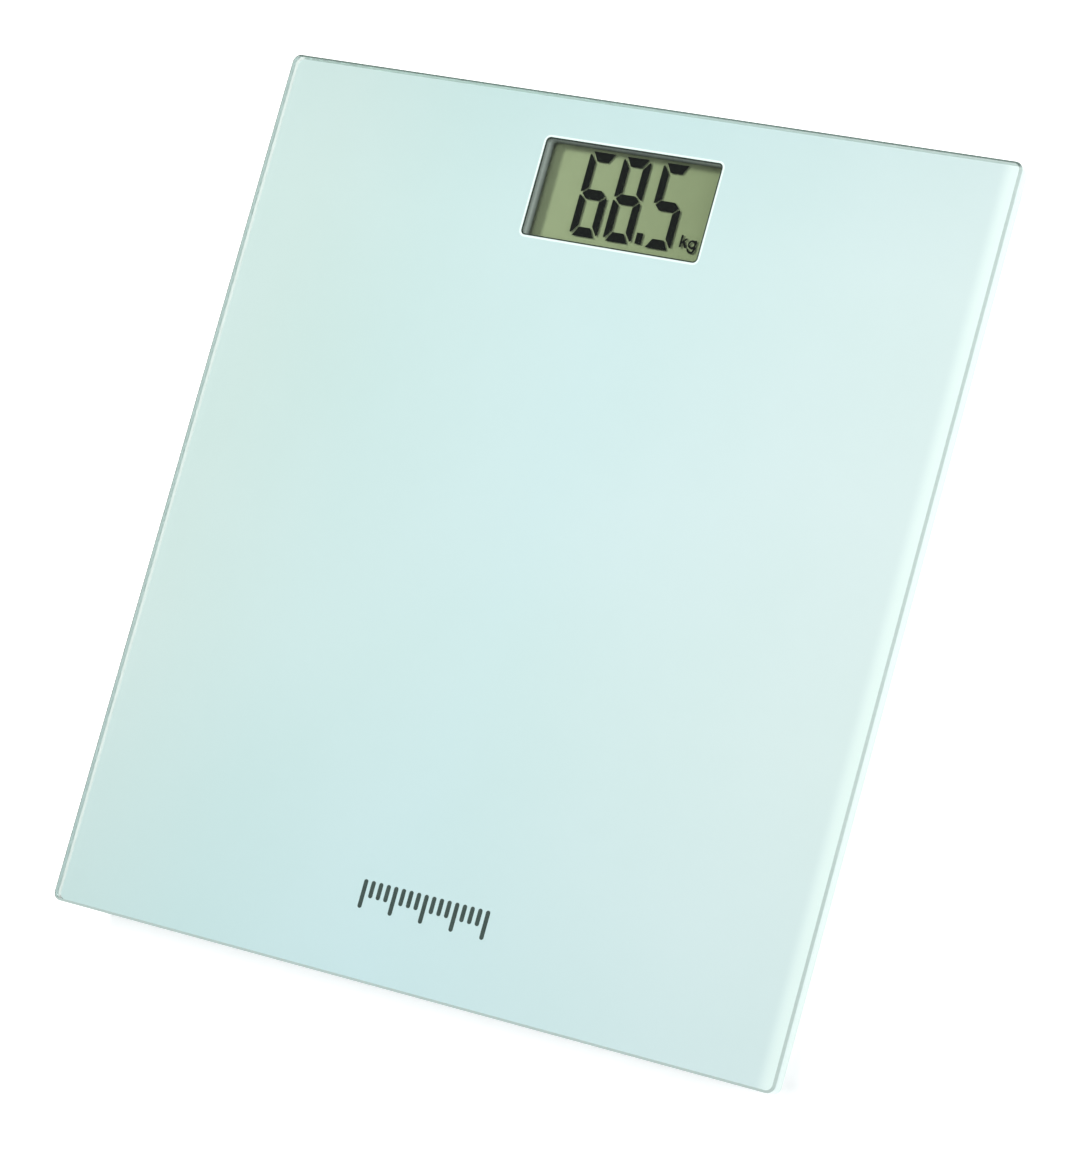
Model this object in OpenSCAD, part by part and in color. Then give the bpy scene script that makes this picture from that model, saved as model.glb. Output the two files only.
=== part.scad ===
// Slim glass bathroom scale: a printed glass platform on a shallow tray,
// carried by four feet, each pressing on its own load cell.
// Origin at the middle of the footprint, on the plane the feet stand on.
// +X to the right, +Y towards the display edge, +Z up. Millimetres.

/* [Platform] */
// Width of the glass platform, left to right
plate_w = 280; // [270:1:320]
// Depth of the glass platform, near edge to display edge
plate_d = 300; // [290:1:330]
// Height of the whole scale
total_h = 22; // [22:0.5:26]
// Thickness of the tempered glass
glass_t = 6; // [4:0.5:6]
// Radius of the upright corners of the glass
glass_corner_r = 3; // [2:0.5:8]
// Width of the ground arris along the glass edges
arris = 0.8; // [0.2:0.1:1]

/* [Display] */
// Width of the clear window in the print
window_w = 68; // [60:1:70]
// Depth of the clear window in the print
window_d = 34; // [30:1:34]
// Distance from the far edge of the glass to the middle of the window
window_inset = 31.4; // [31:0.2:34]
// Depth of the display surface below the glass
display_drop = 4.7; // [4.2:0.1:4.8]
// Height of one displayed digit
digit_h = 29; // [24:0.5:30]
// Width of one displayed digit
digit_w = 10.6; // [8:0.2:11]

/* [Tray] */
// How far the tray stands in from the glass edge
tray_inset = 8; // [8:0.5:10]
// Clearance between the tray and the floor it stands over
tray_z = 3.5; // [3:0.1:3.6]
// Thickness of the tray's floor
floor_t = 1.8; // [1.6:0.1:2]
// Thickness of the tray's outer wall
wall_t = 2; // [1.6:0.1:2.4]
// Thickness of the stiffening ribs
rib_t = 1.4; // [1:0.1:2]

/* [Load cells and feet] */
// Distance from the middle to the foot axes, left to right
foot_x = 102; // [96:1:102]
// Distance from the middle to the foot axes, front to back
foot_y = 112; // [104:1:112]
// Side of the square load cell
cell_w = 34; // [32:0.5:34]
// Thickness of the load cell's steel plate
cell_t = 1.6; // [1.2:0.1:1.6]
// Diameter of the foot's disc
foot_d = 33; // [30:0.5:34]
// Free drop of a foot when the scale is lifted
foot_play = 0.6; // [0.4:0.1:0.8]

/* [Battery and button] */
// Distance from the middle to the coin cell's axis
cell_bay_y = 60; // [52:1:60]
// Diameter of the coin cell
coin_d = 20; // [20:1:20]
// Height of the coin cell
coin_h = 3.2; // [3.2:0.1:3.2]
// Travel of the unit button
button_travel = 0.3; // [0.2:0.05:0.3]

/* [Hidden] */
$fn = 48;
eps = 0.1;
film_t = 0.2;
tape_t = 0.8;
glass_z = total_h - glass_t;
film_z = glass_z - film_t;
tray_top = film_z - tape_t;
floor_top = tray_z + floor_t;
tray_w = plate_w - 2 * tray_inset;
tray_d = plate_d - 2 * tray_inset;
tray_r = 12;
tray_chamfer = [3, 4];
rim_gap = 8;
window_y = plate_d / 2 - window_inset;
window_r = 1.7;
rib_columns = [-72, -30, 30, 72];
rib_rows = [-100, -60, -20, 20, 80];
label_y = -50;
label_w = 70;
label_d = 36;

// Heights of the display stack
lcd_top = glass_z - display_drop;
polarizer_t = 0.2;
glue_t = 0.02;
lcd_glass_t = 0.7;
liquid_gap = 0.1;
front_glass_z = lcd_top - polarizer_t - glue_t - lcd_glass_t;
rear_glass_z = front_glass_z - liquid_gap - lcd_glass_t;
reflector_z = rear_glass_z - glue_t - polarizer_t;
board_t = 1.2;
board_top = reflector_z - 0.8;
board_z = board_top - board_t;

// Plan of the display stack
bezel_w = 81;
bezel_near = window_y - 23;
bezel_far = window_y + 20.6;
lcd_w = 76;
lcd_near = bezel_near + 1.8;
lcd_far = bezel_far - 1.8;
contact_ledge = 3.8;
board_w = 96;
board_near = window_y - 36.6;
board_far = bezel_far - 1.2;
board_screw = [44.5, 5];
board_screw_rows = [board_near + board_screw[1], board_far - board_screw[1]];
frame_peg_x = bezel_w / 2 - 2.2;
recess_draft = 0.9;

// Outlines of the digits: widths of the upright and level bars, and the gap between bars
digit_near = window_y - 13.3;
bar_v = 2.6;
bar_h = 3.2;
mid_h = 3.4;
bar_gap = 0.58;
half_h = digit_h / 2;

// Load cell and foot
island_w = 50;
island_r = 5;
retainer_w = 46;
retainer_t = 1.6;
retainer_z = tray_z + 0.4;
lip_top = retainer_z + retainer_t;
cell_top = tray_top - 4.2;
cell_z = cell_top - cell_t;
relief_top = cell_top + 2;
lip_hole_d = 23;
retainer_screw = 20.2;
pad_t = 1.8;
disc_z = 0.9;
disc_top = 3.2;
claw_z = lip_top + foot_play;
gauge_x = 9;

// Wires
lead_d = 0.9;
lead_pitch = 1.1;
lead_z = cell_top + 0.6;
lead_lane_x = 60;
lead_end_x = 45.5;
front_lead_y = board_near + 10;
bend_down_r = 1.6;
battery_lead_x = 17;
battery_lead_end = board_near + 3.5;

// Coin-cell bay
coin_z = floor_top - 0.1;
coin_top = coin_z + coin_h;
bay_ceiling = coin_top + 1.2;
door_w = 25.4;
door_l = 28.8;
door_t = 1.4;
door_z = tray_z + 0.05;
hinge_y = cell_bay_y - 14;
hinge_z = door_z + door_t / 2;
pin_r = 0.55;
spring_t = 0.3;
spring_w = 5;
tail_z = bay_ceiling - spring_t;

// Unit button
button_at = [-32, board_near + 7];
button_r = 4;
flange_r = button_r + 1;
flange_t = 0.7;
switch_z = floor_top + flange_t + button_travel + 0.1;

tray_colour = [0.93, 0.94, 0.94];
bezel_colour = [0.80, 0.83, 0.80];
display_glass = [0.80, 0.88, 0.84, 0.4];
spring_colour = [0.85, 0.80, 0.60];
steel = [0.72, 0.73, 0.75];
aqua = [0.80, 0.91, 0.90];
lead_colours = ["white", "red", [0.2, 0.2, 0.2]];

corner_names = ["front_left", "front_right", "rear_left", "rear_right"];
function per_corner(name) = [for (c = corner_names) str(name, "_", c)];

// ---- shared shapes ----

module rounded_rect(w, d, r) {
    square([w - 2 * r, d], center = true);
    square([w, d - 2 * r], center = true);
    for (x = [-1, 1], y = [-1, 1])
        translate([x * (w / 2 - r), y * (d / 2 - r)])
            circle(r);
}

module slab(w, d, z0, z1, r) {
    translate([0, 0, z0])
        linear_extrude(z1 - z0)
            rounded_rect(w, d, r);
}

// A block between two corners
module block(low, high) {
    translate(low)
        cube(high - low);
}

module disc(r, z0, z1) {
    translate([0, 0, z0])
        cylinder(r = r, h = z1 - z0);
}

// Two crossed slots for a screwdriver, cut as deep above z = 0 as below it
module cross_recess(length, deep) {
    block([-length / 2, -0.2, -deep], [length / 2, 0.2, deep]);
    block([-0.2, -length / 2, -deep], [0.2, length / 2, deep]);
}

// Half outline of a plate's edge: top chamfer and bottom chamfer, each [across, up]
function edge_outline(half, t, top, low) = [
    [0, 0], [half - low[0], 0], [half, low[1]],
    [half, t - top[1]], [half - top[0], t], [0, t]
];

module full_outline(half, t, top, low) {
    polygon(edge_outline(half, t, top, low));
    mirror([1, 0])
        polygon(edge_outline(half, t, top, low));
}

// A plate with round upright corners and chamfers all the way round
module chamfered_plate(w, d, t, r, top, low) {
    rotate([90, 0, 0])
        linear_extrude(d - 2 * r, center = true)
            full_outline(w / 2, t, top, low);
    rotate([90, 0, 90])
        linear_extrude(w - 2 * r, center = true)
            full_outline(d / 2, t, top, low);
    for (x = [-1, 1], y = [-1, 1])
        translate([x * (w / 2 - r), y * (d / 2 - r), 0])
            rotate_extrude()
                polygon(edge_outline(r, t, top, low));
}

module at_corner(c) {
    translate([(c % 2 == 0 ? -1 : 1) * foot_x, (c < 2 ? -1 : 1) * foot_y, 0])
        children();
}

// Turns a right-hand corner's detail to face the middle on either side
module facing_middle(c) {
    mirror([c % 2 == 0 ? 1 : 0, 0, 0])
        children();
}

// ---- glass and what bonds it ----

module glass_platform() {
    color([0.85, 0.95, 0.94, 0.45])
        translate([0, 0, glass_z])
            chamfered_plate(plate_w, plate_d, glass_t, glass_corner_r, [arris, arris], [arris, arris]);
}

module backing_film() {
    film_w = plate_w - 2 * arris - 0.2;
    film_d = plate_d - 2 * arris - 0.2;
    color(aqua)
        difference() {
            slab(film_w, film_d, film_z, glass_z, glass_corner_r - 0.6);
            translate([0, window_y, 0])
                slab(window_w, window_d, film_z - eps, glass_z + eps, window_r);
        }
}

module mounting_tape() {
    band = rim_gap + 1;
    color("white")
        difference() {
            union() {
                difference() {
                    slab(tray_w - 1, tray_d - 1, tray_top, film_z, tray_r - 0.5);
                    slab(tray_w - 1 - 2 * band, tray_d - 1 - 2 * band, tray_top - eps, film_z + eps, 5);
                }
                for (c = [0:3])
                    at_corner(c)
                        slab(island_w - 1, island_w - 1, tray_top, film_z, island_r);
            }
            block(
                [-bezel_w / 2 - 1, bezel_near - 1, tray_top - eps],
                [bezel_w / 2 + 1, bezel_far + 0.4, film_z + eps]
            );
        }
}

module window_gasket() {
    color([0.15, 0.16, 0.16])
        translate([0, window_y, 0])
            difference() {
                slab(window_w + 8, window_d + 5, tray_top, film_z, 3);
                slab(window_w + 0.4, window_d + 0.4, tray_top - eps, film_z + eps, window_r + 0.2);
            }
}

// ---- tray ----

module tray_shell() {
    difference() {
        translate([0, 0, tray_z])
            chamfered_plate(tray_w, tray_d, tray_top - tray_z, tray_r, [0, 0], tray_chamfer);
        translate([0, 0, floor_top])
            chamfered_plate(
                tray_w - 2 * wall_t, tray_d - 2 * wall_t, tray_top - floor_top + eps,
                tray_r - wall_t, [0, 0], tray_chamfer
            );
    }
}

module tray_ribs() {
    rib_low = floor_top - 0.3;
    rib_high = tray_top - 0.4;
    reach_x = tray_w / 2 - rim_gap;
    reach_y = tray_d / 2 - rim_gap;
    for (x = rib_columns)
        block([x - rib_t / 2, -reach_y, rib_low], [x + rib_t / 2, reach_y, rib_high]);
    for (y = rib_rows)
        block([-reach_x, y - rib_t / 2, rib_low], [reach_x, y + rib_t / 2, rib_high]);
    difference() {
        slab(2 * reach_x, 2 * reach_y, rib_low, tray_top, 6);
        slab(2 * reach_x - 2 * rib_t, 2 * reach_y - 2 * rib_t, rib_low - eps, tray_top + eps, 5);
    }
    for (y = [-110:44:110], side = [-1, 1])
        translate([side * (tray_w / 2 - rim_gap / 2 - 1), y, 0])
            block([-4, -rib_t / 2, rib_low + 1.5], [4, rib_t / 2, rib_high]);
    for (x = [-88:44:88], side = [-1, 1])
        if (side < 0 || abs(x) > board_w / 2 + 2)
            translate([x, side * (tray_d / 2 - rim_gap / 2 - 1), 0])
                block([-rib_t / 2, -4, rib_low + 1.5], [rib_t / 2, 4, rib_high]);
}

module board_bosses() {
    for (x = [-1, 1], y = board_screw_rows)
        translate([x * board_screw[0], y, 0])
            disc(2.7, floor_top - 0.3, board_z);
}

module coin_bay_walls() {
    translate([0, cell_bay_y, 0])
        slab(33, 35, tray_z + 0.2, bay_ceiling + 1.2, 4);
}

module coin_bay_cuts() {
    translate([0, cell_bay_y, 0]) {
        disc(coin_d / 2 + 0.4, door_z + door_t - 0.05, bay_ceiling);
        block([9.6, -3.5, door_z + door_t - 0.05], [coin_d / 2 + 0.9, 3.5, bay_ceiling]);
        block([9.6, -3.5, tail_z - 0.1], [17, 3.5, bay_ceiling]);
        block([-17, -3.5, tail_z - 0.1], [-9.6, 3.5, bay_ceiling]);
    }
    block(
        [-door_w / 2 - 0.2, hinge_y - 0.9, tray_z - eps],
        [door_w / 2 + 0.2, hinge_y + door_l + 0.2, door_z + door_t + 0.05]
    );
    translate([0, hinge_y, hinge_z])
        rotate([0, 90, 0])
            cylinder(r = pin_r + 0.05, h = door_w + 3.4, center = true);
    translate([0, hinge_y + door_l + 3, tray_z - 4])
        rotate([90, 0, 0])
            cylinder(r = 5, h = 6, center = true);
}

module cell_pocket() {
    slab(retainer_w + 0.6, retainer_w + 0.6, tray_z - eps, lip_top, 4.3);
    slab(cell_w + 0.6, cell_w + 0.6, lip_top - eps, cell_top, 3.3);
    disc(13.5, cell_top - eps, relief_top);
    block([-island_w / 2 - 1, -2.6, lead_z - lead_d / 2 - 0.1], [-8, 2.6, relief_top]);
    for (x = [-1, 1], y = [-1, 1])
        translate([x * retainer_screw, y * retainer_screw, 0])
            disc(1.05, lip_top - eps, lip_top + 5.2);
}

module lead_notches() {
    notch_z = lead_z - lead_d / 2 - 0.1;
    for (side = [-1, 1]) {
        for (y = rib_rows)
            translate([side * lead_lane_x, y, 0])
                block([-2.6, -2, notch_z], [2.6, 2, tray_top + eps]);
        for (y = [-foot_y, foot_y])
            translate([side * rib_columns[3], y, 0])
                block([-2, -2.6, notch_z], [2, 2.6, tray_top + eps]);
        translate([side * battery_lead_x, rib_rows[4], 0])
            block([-1.5, -2, tail_z + 0.2], [1.5, 2, tray_top + eps]);
    }
}

module base_tray() {
    color(tray_colour)
        difference() {
            union() {
                difference() {
                    union() {
                        tray_shell();
                        tray_ribs();
                    }
                    block(
                        [-board_w / 2 - 1, board_near - 1, floor_top],
                        [board_w / 2 + 1, tray_d / 2 - 6, tray_top + eps]
                    );
                }
                for (c = [0:3])
                    at_corner(c)
                        slab(island_w, island_w, tray_z + 0.2, tray_top, island_r);
                board_bosses();
                coin_bay_walls();
            }
            for (c = [0:3])
                at_corner(c)
                    facing_middle(c)
                        cell_pocket();
            coin_bay_cuts();
            lead_notches();
            for (x = [-1, 1], y = board_screw_rows)
                translate([x * board_screw[0], y, 0])
                    disc(1.05, floor_top - 1, board_z + eps);
            translate([button_at[0], button_at[1], 0])
                disc(button_r + 0.08, tray_z - eps, floor_top + eps);
            translate([0, label_y, 0])
                slab(label_w + 2, label_d + 2, tray_z - eps, tray_z + 0.2, 3);
        }
}

module rating_label() {
    color([0.88, 0.89, 0.90])
        translate([0, label_y, 0])
            slab(label_w, label_d, tray_z + 0.05, tray_z + 0.2, 2);
}

// ---- display ----

// The bezel's opening narrows on its way down to the display
module display_frame() {
    recess_h = tray_top - lcd_top + 2 * eps;
    color(bezel_colour)
        difference() {
            translate([0, (bezel_near + bezel_far) / 2, 0])
                slab(bezel_w, bezel_far - bezel_near, board_top, tray_top, 2);
            translate([0, window_y, lcd_top - eps])
                chamfered_plate(
                    window_w + 0.6, window_d + 0.6, recess_h, window_r + 0.3,
                    [0, 0], [recess_draft, recess_h]
                );
            block(
                [-lcd_w / 2 - 0.3, lcd_near - 0.3, board_top - eps],
                [lcd_w / 2 + 0.3, lcd_far + 0.3, lcd_top]
            );
        }
    color(bezel_colour)
        for (x = [-1, 1])
            translate([x * frame_peg_x, window_y, 0])
                disc(0.9, board_z - 0.3, board_top + 0.2);
}

module lcd_polarizer() {
    color([0.62, 0.68, 0.55, 0.5])
        translate([0, window_y, 0])
            slab(window_w + 3, window_d + 2.4, lcd_top - polarizer_t, lcd_top, 1);
}

module lcd_front_glass() {
    color(display_glass)
        block([-lcd_w / 2, lcd_near, front_glass_z], [lcd_w / 2, lcd_far, front_glass_z + lcd_glass_t]);
}

module lcd_rear_glass() {
    color(display_glass)
        block(
            [-lcd_w / 2, lcd_near + contact_ledge, rear_glass_z],
            [lcd_w / 2, lcd_far, rear_glass_z + lcd_glass_t]
        );
}

module lcd_reflector() {
    color([0.62, 0.67, 0.52])
        block(
            [-lcd_w / 2 + 1, lcd_near + contact_ledge + 0.5, reflector_z],
            [lcd_w / 2 - 1, lcd_far - 0.5, reflector_z + polarizer_t]
        );
}

// The three outlines that make a digit's seven bars, from the digit's lower left corner
module flat_bar() {
    polygon([
        [bar_gap + 0.6, 0], [digit_w - bar_gap - 0.6, 0],
        [digit_w - bar_v - bar_gap, bar_h], [bar_v + bar_gap, bar_h]
    ]);
}

module middle_bar() {
    shoulder = bar_v + 0.1;
    polygon([
        [0.9, half_h], [shoulder, half_h + mid_h / 2], [digit_w - shoulder, half_h + mid_h / 2],
        [digit_w - 0.9, half_h], [digit_w - shoulder, half_h - mid_h / 2], [shoulder, half_h - mid_h / 2]
    ]);
}

module side_bar() {
    polygon([
        [0, bar_gap + 0.7], [0.4, bar_gap + 0.3], [bar_v, bar_h + bar_gap],
        [bar_v, half_h - mid_h / 2 - bar_gap], [0.5, half_h - bar_gap], [0, half_h - bar_gap]
    ]);
}

module mirrored_x() {
    translate([digit_w, 0])
        mirror([1, 0])
            children();
}

module mirrored_y() {
    translate([0, digit_h])
        mirror([0, 1])
            children();
}

// lit holds the letters of the segments that are on: a top, then clockwise, g middle
module digit(x, lit) {
    translate([x, digit_near])
        for (s = lit) {
            if (s == "a") mirrored_y() flat_bar();
            if (s == "b") mirrored_x() mirrored_y() side_bar();
            if (s == "c") mirrored_x() side_bar();
            if (s == "d") flat_bar();
            if (s == "e") side_bar();
            if (s == "f") mirrored_y() side_bar();
            if (s == "g") middle_bar();
        }
}

module unit_mark(x) {
    translate([x, digit_near + 1.9]) {
        square([0.7, 4.2]);
        polygon([[0.7, 1.2], [0.7, 1.9], [1.9, 3.2], [2.7, 3.2]]);
        polygon([[1.0, 1.8], [1.6, 2.3], [2.8, 0], [2.0, 0]]);
    }
    translate([x + 4.6, digit_near + 3.4]) {
        difference() {
            circle(1.5);
            circle(0.85);
        }
        difference() {
            translate([0, -1.6])
                circle(1.5);
            translate([0, -1.6])
                circle(0.85);
            translate([-1.6, -1.6])
                square([2.4, 1.8]);
        }
        translate([0.85, -1.6])
            square([0.65, 3.1]);
    }
}

module lcd_segments() {
    color([0.06, 0.08, 0.07])
        translate([0, 0, front_glass_z - liquid_gap])
            linear_extrude(liquid_gap) {
                digit(-19.3, "afgecd");
                digit(-6.3, "abcdefg");
                digit(9.0, "afgcd");
                translate([6.0, digit_near + 0.6])
                    square([2.3, 3.8]);
                unit_mark(22.6);
            }
}

// Foam strips that press the display up against its bezel
module display_cushion() {
    color([0.2, 0.2, 0.2])
        for (x = [-1, 1])
            block([x * 26 - 6, lcd_near + 10, board_top], [x * 26 + 6, lcd_far - 6, reflector_z]);
}

module contact_strip() {
    color([0.9, 0.5, 0.6])
        block([-lcd_w / 2 + 2, lcd_near + 0.4, board_top], [lcd_w / 2 - 2, lcd_near + 3, front_glass_z]);
}

// ---- electronics ----

module board_plan() {
    translate([-board_w / 2, board_near])
        square([board_w, board_far - board_near]);
}

module circuit_board() {
    color([0.10, 0.38, 0.22])
        difference() {
            translate([0, 0, board_z])
                linear_extrude(board_t)
                    board_plan();
            for (x = [-1, 1], y = board_screw_rows)
                translate([x * board_screw[0], y, 0])
                    disc(1.15, board_z - eps, board_top + eps);
            for (x = [-1, 1])
                translate([x * frame_peg_x, window_y, 0])
                    disc(1, board_z - eps, board_top + eps);
            for (x = [-1, 1])
                translate([x * battery_lead_x, battery_lead_end, 0])
                    disc(0.6, board_z - eps, board_top + eps);
            for (x = [-1, 1], y = [foot_y, front_lead_y], k = [-1:1])
                translate([x * lead_end_x, y + k * lead_pitch, 0])
                    disc(0.52, board_z - eps, board_top + eps);
        }
}

module controller_chip() {
    color([0.08, 0.08, 0.08])
        translate([7, board_near + 6.3, board_top])
            rotate_extrude()
                polygon([[0, 0], [5.6, 0], [5.4, 0.5], [4.4, 1.0], [2.6, 1.3], [0, 1.4]]);
}

module board_components() {
    color([0.65, 0.55, 0.42])
        translate([0, board_near, board_top]) {
            for (x = [-13, -9, -5])
                block([x - 0.6, 2, 0], [x + 0.6, 4, 0.9]);
            for (x = [24, 28, 32])
                block([x - 1, 3, 0], [x + 1, 4.2, 0.8]);
            for (x = [-11, -6])
                block([x - 1.6, 7, 0], [x + 1.6, 10, 1.3]);
            block([23, 7, 0], [34, 11, 2.8]);
            translate([-22, 7, 0])
                cylinder(r = 2.6, h = 5);
        }
}

module unit_switch() {
    color([0.25, 0.25, 0.26])
        translate([button_at[0], button_at[1], 0])
            difference() {
                block([-3, -3, switch_z], [3, 3, board_z]);
                disc(1.56, switch_z - eps, board_z + eps);
            }
}

module board_screws() {
    color(steel)
        for (x = [-1, 1], y = board_screw_rows)
            translate([x * board_screw[0], y, 0])
                difference() {
                    union() {
                        disc(1, floor_top - 0.7, board_top + 0.2);
                        disc(1.75, board_top, board_top + 1.2);
                    }
                    translate([0, 0, board_top + 1.3])
                        cross_recess(2.4, 0.7);
                }
}

// ---- load cells ----

module load_cell(c) {
    color(steel)
        at_corner(c)
            facing_middle(c)
                difference() {
                    slab(cell_w, cell_w, cell_z, cell_top, 3);
                    for (y = [-1, 1])
                        translate([-0.5, y * 8.5, 0])
                            slab(21, 3, cell_z - eps, cell_top + eps, 1.4);
                    translate([8.5, 0, 0])
                        slab(3, 20, cell_z - eps, cell_top + eps, 1.4);
                    for (y = [-1, 1])
                        translate([13.5, y * 13.5, 0])
                            disc(1.2, cell_z - eps, cell_top + eps);
                }
}

module strain_gauge(c) {
    color([0.95, 0.95, 0.93])
        at_corner(c)
            facing_middle(c)
                translate([-gauge_x + 1, 0, 0])
                    slab(7, 8, cell_top, cell_top + 1.3, 1.2);
}

module cell_retainer(c) {
    color([0.86, 0.87, 0.87])
        at_corner(c)
            difference() {
                union() {
                    slab(retainer_w, retainer_w, retainer_z, lip_top, 4);
                    slab(cell_w, cell_w, lip_top - eps, cell_z, 3);
                }
                disc(lip_hole_d / 2, retainer_z - eps, lip_top + eps);
                slab(28.6, 28.6, lip_top, cell_z + eps, 2);
                for (x = [-1, 1], y = [-1, 1])
                    translate([x * retainer_screw, y * retainer_screw, 0]) {
                        disc(1.1, retainer_z - eps, lip_top + eps);
                        translate([0, 0, retainer_z])
                            cylinder(r1 = 2, r2 = 1.1, h = 1);
                    }
            }
}

module countersunk_screw() {
    difference() {
        union() {
            translate([0, 0, retainer_z])
                cylinder(r1 = 1.9, r2 = 1, h = 0.9);
            disc(1, retainer_z + 0.8, lip_top + 4.4);
        }
        translate([0, 0, retainer_z - 0.2])
            cross_recess(2.2, 0.8);
    }
}

module retainer_screws() {
    color(steel)
        for (c = [0:3], x = [-1, 1], y = [-1, 1])
            at_corner(c)
                translate([x * retainer_screw, y * retainer_screw, 0])
                    countersunk_screw();
}

// ---- wires ----

// A straight run of wire along X, from the origin
module run_x(length) {
    rotate([0, 90, 0])
        cylinder(d = lead_d, h = length);
}

module run_y(length) {
    rotate([-90, 0, 0])
        cylinder(d = lead_d, h = length);
}

// A quarter bend of wire about the Z axis, from angle a to a + 90
module quarter_bend(r, a) {
    rotate([0, 0, a])
        rotate_extrude(angle = 90)
            translate([r, 0])
                circle(d = lead_d);
}

// The end of a wire that arrives along -X at height lead_z and dips through the board at x = 0
module dip_to_board() {
    translate([bend_down_r, 0, -bend_down_r])
        rotate([90, 0, 0])
            quarter_bend(bend_down_r, 90);
    translate([0, 0, board_z - lead_z - 0.4])
        cylinder(d = lead_d, h = lead_z - bend_down_r - board_z + 0.4);
}

// Right-hand rear wire: straight from the gauge to the board
module rear_wire(k) {
    end_x = lead_end_x + bend_down_r;
    start_x = foot_x - gauge_x - 2.5;
    translate([end_x, foot_y + k * lead_pitch, lead_z])
        run_x(start_x - end_x);
    translate([lead_end_x, foot_y + k * lead_pitch, lead_z])
        dip_to_board();
}

// Right-hand front wire: out to the lane, back along it, and across to the board
module front_wire(k) {
    r_out = 5 - k * lead_pitch;
    r_in = 5 + k * lead_pitch;
    lane = lead_lane_x - k * lead_pitch;
    y_out = -foot_y - k * lead_pitch;
    y_in = front_lead_y - k * lead_pitch;
    start_x = foot_x - gauge_x - 2.5;
    end_x = lead_end_x + bend_down_r;
    translate([lane + r_in, y_out, lead_z])
        run_x(start_x - lane - r_in);
    translate([lane + r_in, y_out + r_in, lead_z])
        quarter_bend(r_in, 180);
    translate([lane, y_out + r_in, lead_z])
        run_y(y_in - r_out - y_out - r_in);
    translate([lane - r_out, y_in - r_out, lead_z])
        quarter_bend(r_out, 0);
    translate([end_x, y_in, lead_z])
        run_x(lane - r_out - end_x);
    translate([lead_end_x, y_in, lead_z])
        dip_to_board();
}

module sensor_leads(c) {
    for (k = [-1:1])
        color(lead_colours[k + 1])
            facing_middle(c)
                if (c < 2)
                    front_wire(k);
                else
                    rear_wire(k);
}

module battery_leads() {
    wire_z = bay_ceiling + lead_d / 2 + 0.05;
    for (x = [-1, 1])
        color(x > 0 ? "red" : "black")
            translate([x * battery_lead_x, 0, wire_z]) {
                translate([0, cell_bay_y - 2, 0])
                    run_y(battery_lead_end - bend_down_r - cell_bay_y + 2);
                translate([0, battery_lead_end - bend_down_r, -bend_down_r])
                    rotate([0, -90, 0])
                        quarter_bend(bend_down_r, 0);
                translate([0, battery_lead_end, board_z - wire_z - 0.4])
                    cylinder(d = lead_d, h = wire_z - bend_down_r - board_z + 0.4);
            }
}

// ---- coin cell and contacts ----

module at_coin() {
    translate([0, cell_bay_y, coin_z])
        children();
}

module coin_cell_can() {
    r = coin_d / 2;
    color(steel)
        at_coin()
            rotate_extrude()
                polygon([
                    [0, 0], [r - 0.5, 0], [r, 0.5], [r, coin_h - 0.4], [r - 0.4, coin_h - 0.2],
                    [r - 0.4, 0.6], [0, 0.6]
                ]);
}

module coin_cell_seal() {
    r = coin_d / 2 - 0.4;
    color([0.2, 0.2, 0.2])
        at_coin()
            rotate_extrude()
                polygon([[r - 0.5, 0.6], [r, 0.6], [r, coin_h - 0.15], [r - 0.5, coin_h - 0.15]]);
}

module coin_cell_cap() {
    r = coin_d / 2 - 0.9;
    color([0.8, 0.81, 0.82])
        at_coin()
            rotate_extrude()
                polygon([[0, 0.6], [r, 0.6], [r, coin_h - 0.5], [r - 0.5, coin_h], [0, coin_h]]);
}

module battery_contact_negative() {
    color(spring_colour)
        translate([0, cell_bay_y, 0]) {
            block([-18, -spring_w / 2, tail_z], [-6, spring_w / 2, bay_ceiling]);
            translate([-6.1, 0, tail_z + spring_t / 2])
                rotate([0, 7.6, 0])
                    translate([0, -spring_w / 2, -spring_t / 2])
                        cube([6.4, spring_w, spring_t]);
            block([-0.2, -spring_w / 2, coin_top], [3, spring_w / 2, coin_top + spring_t]);
        }
}

module battery_contact_positive() {
    r = coin_d / 2;
    color(spring_colour)
        translate([0, cell_bay_y, 0]) {
            block([r + 0.1, -spring_w / 2, coin_z + 0.3], [r + 0.1 + spring_t, spring_w / 2, bay_ceiling]);
            block([r + 0.1, -spring_w / 2, tail_z], [18, spring_w / 2, bay_ceiling]);
        }
}

// ---- moving parts ----

module foot_cap(c) {
    r = foot_d / 2;
    stem_r = 7.5;
    boss_z = cell_z - 1.2;
    color([0.90, 0.91, 0.91])
        at_corner(c)
            union() {
                rotate_extrude()
                    polygon([
                        [0, pad_t], [r - 1.4, pad_t], [r - 1.4, disc_z], [r - 0.3, disc_z],
                        [r, disc_z + 0.3], [r, disc_top - 0.5], [r - 0.5, disc_top], [stem_r, disc_top],
                        [stem_r, boss_z], [4.6, boss_z], [4.4, cell_z], [0, cell_z]
                    ]);
                intersection() {
                    rotate_extrude()
                        polygon([
                            [9.3, disc_top - 0.4], [11.1, disc_top - 0.4], [11.1, claw_z],
                            [12.6, claw_z], [12.6, claw_z + 0.3], [11.2, claw_z + 1.4], [9.3, claw_z + 1.4]
                        ]);
                    union() {
                        block([-13, -3.5, disc_z], [13, 3.5, cell_z]);
                        block([-3.5, -13, disc_z], [3.5, 13, cell_z]);
                    }
                }
            }
}

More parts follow.
